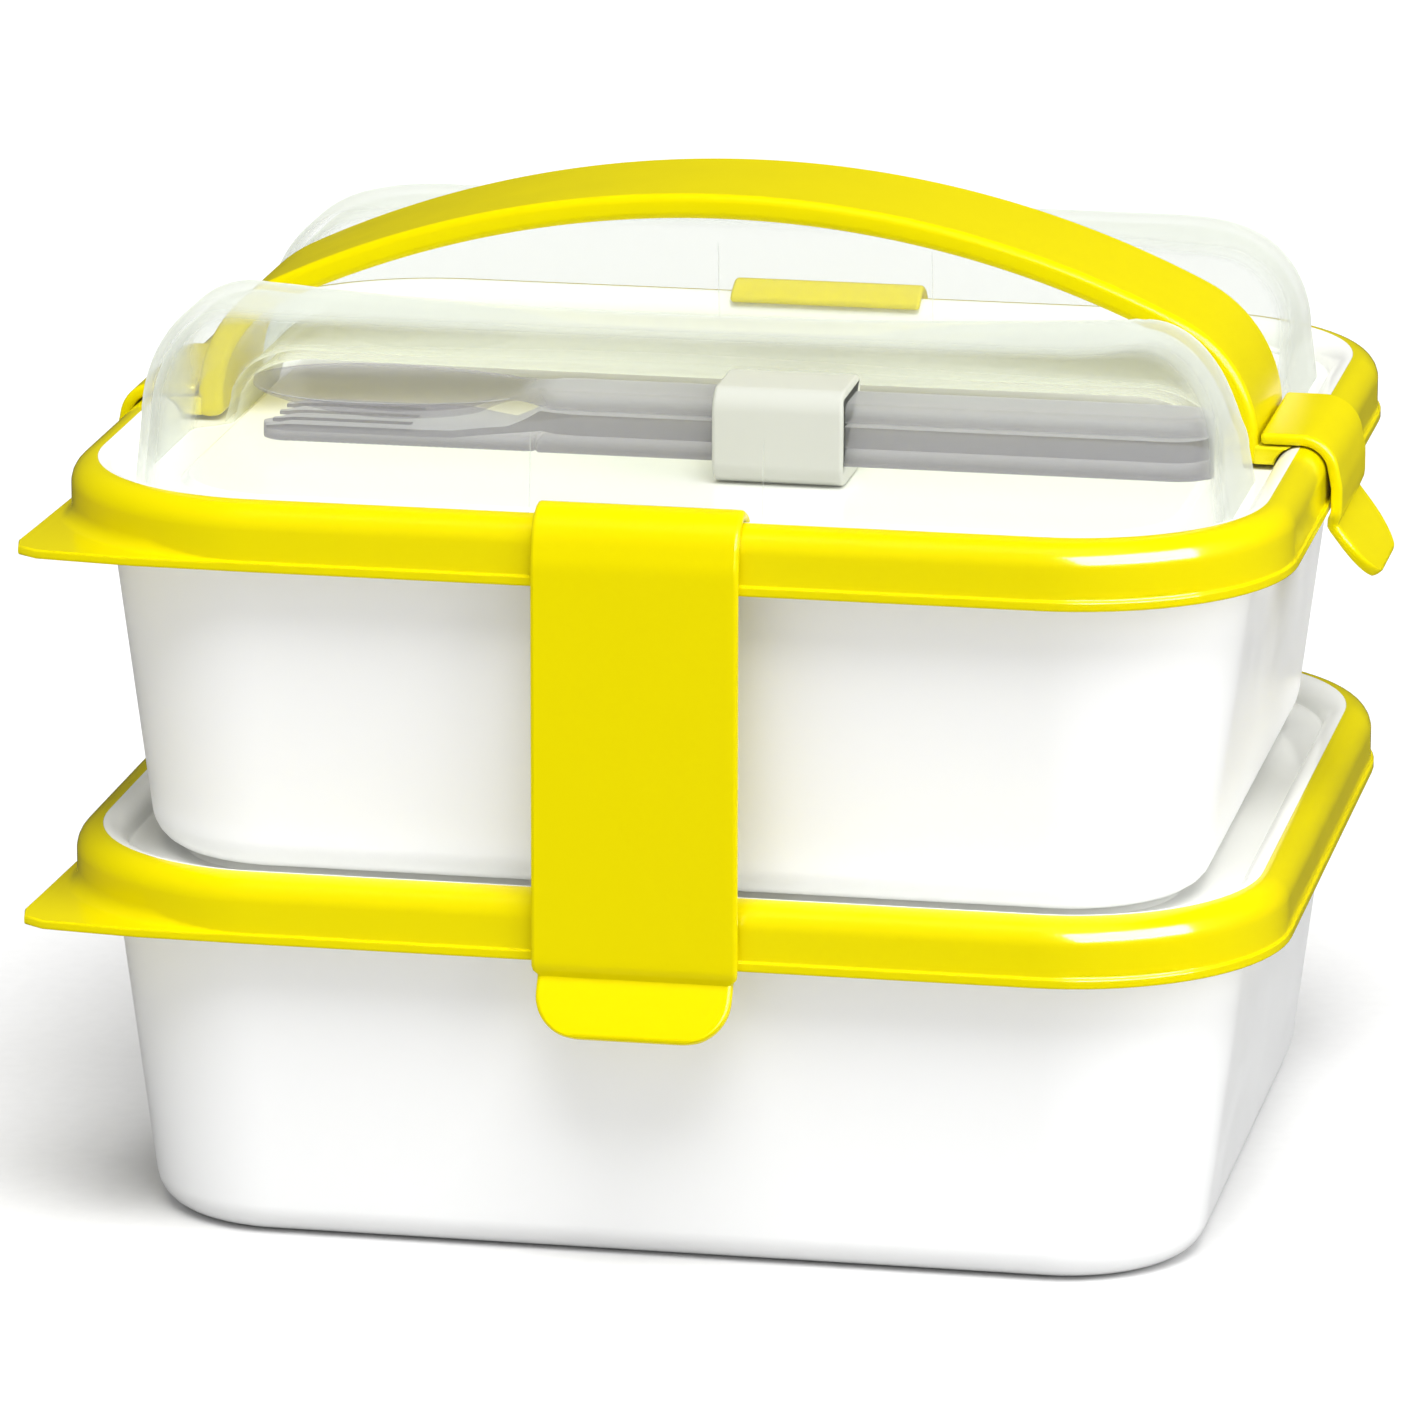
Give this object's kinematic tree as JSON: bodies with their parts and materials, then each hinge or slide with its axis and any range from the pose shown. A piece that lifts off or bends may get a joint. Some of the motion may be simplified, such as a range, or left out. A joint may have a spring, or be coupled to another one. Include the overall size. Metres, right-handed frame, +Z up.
{
  "type": "bento lunch box",
  "caption": "Stacked food boxes with snap lids, side clips, a clear cover over a cutlery set, and an arched carrying handle with latches.",
  "frame": {"origin": "middle of the lower box's underside, on the surface it stands on", "axes": "+X along the long side to the right, -Y to the front, +Z up"},
  "size_m": [0.2384, 0.2058, 0.1794],
  "materials": {
    "box_white": "smooth moulded polypropylene",
    "rim_yellow": "glossy bright yellow",
    "panel_white": "smooth, slightly translucent white",
    "seal": "soft matt silicone",
    "clear_cover": "clear, slightly milky moulded plastic",
    "handle_yellow": "satin bright yellow",
    "smoked_plastic": "polished smoke-grey plastic",
    "sleeve_white": "matt warm white"
  },
  "bodies": {
    "lower_box": {"lower_box": "box_white"},
    "lower_lid": {"lower_lid_frame": "rim_yellow", "lower_lid_panel": "panel_white", "lower_lid_seal": "seal"},
    "upper_box": {"upper_box": "box_white"},
    "upper_lid": {"upper_lid_frame": "rim_yellow", "upper_lid_panel": "panel_white", "upper_lid_seal": "seal"},
    "front_clip": {"front_clip": "handle_yellow"},
    "rear_clip": {"rear_clip": "handle_yellow"},
    "dome": {"dome_cover": "clear_cover"},
    "handle": {"handle": "handle_yellow"},
    "latch_left": {"handle_latch_left": "handle_yellow"},
    "latch_right": {"handle_latch_right": "handle_yellow"},
    "cutlery": {"spoon": "smoked_plastic", "fork": "smoked_plastic", "knife": "smoked_plastic"},
    "sleeve": {"cutlery_sleeve": "sleeve_white"}
  },
  "joints": [
    {"name": "lower_lid_lift", "type": "slide", "parent": "lower_box", "child": "lower_lid", "axis": [0, 0, 1], "range_m": [0, 0.03]},
    {"name": "upper_box_lift", "type": "slide", "parent": "lower_lid", "child": "upper_box", "axis": [0, 0, 1], "range_m": [0, 0.02]},
    {"name": "upper_lid_lift", "type": "slide", "parent": "upper_box", "child": "upper_lid", "axis": [0, 0, 1], "range_m": [0, 0.04]},
    {"name": "front_clip_swing", "type": "hinge", "parent": "upper_lid", "child": "front_clip", "pos_m": [0, -0.0908, 0.1332], "axis": [-1, 0, 0], "range_deg": [0, 28]},
    {"name": "rear_clip_swing", "type": "hinge", "parent": "upper_lid", "child": "rear_clip", "pos_m": [0, 0.0908, 0.1332], "axis": [1, 0, 0], "range_deg": [0, 28]},
    {"name": "handle_lift", "type": "slide", "parent": "upper_lid", "child": "handle", "axis": [0, 0, 1], "range_m": [0, 0.028]},
    {"name": "latch_left_swing", "type": "hinge", "parent": "handle", "child": "latch_left", "pos_m": [-0.0985, 0, 0.13925], "axis": [0, 1, 0], "range_deg": [0, 86]},
    {"name": "latch_right_swing", "type": "hinge", "parent": "handle", "child": "latch_right", "pos_m": [0.0985, 0, 0.13925], "axis": [0, -1, 0], "range_deg": [0, 86]},
    {"name": "dome_lift", "type": "slide", "parent": "upper_lid", "child": "dome", "axis": [0, 0, 1], "range_m": [0, 0.016]},
    {"name": "cutlery_lift", "type": "slide", "parent": "upper_lid", "child": "cutlery", "axis": [0, 0, 1], "range_m": [0, 0.008]},
    {"name": "sleeve_slide", "type": "slide", "parent": "cutlery", "child": "sleeve", "axis": [1, 0, 0], "range_m": [-0.02, 0.04]}
  ],
  "couplings": [
    {"joint": "upper_box_lift", "follows": "upper_lid_lift", "ratio": 0.5},
    {"joint": "front_clip_swing", "follows": "upper_lid_lift", "rad_per_m": 12.2},
    {"joint": "rear_clip_swing", "follows": "upper_lid_lift", "rad_per_m": 12.2},
    {"joint": "latch_left_swing", "follows": "handle_lift", "rad_per_m": 53.5},
    {"joint": "latch_right_swing", "follows": "handle_lift", "rad_per_m": 53.5},
    {"joint": "dome_lift", "follows": "handle_lift", "ratio": 0.55},
    {"joint": "cutlery_lift", "follows": "handle_lift", "ratio": 0.25}
  ]
}
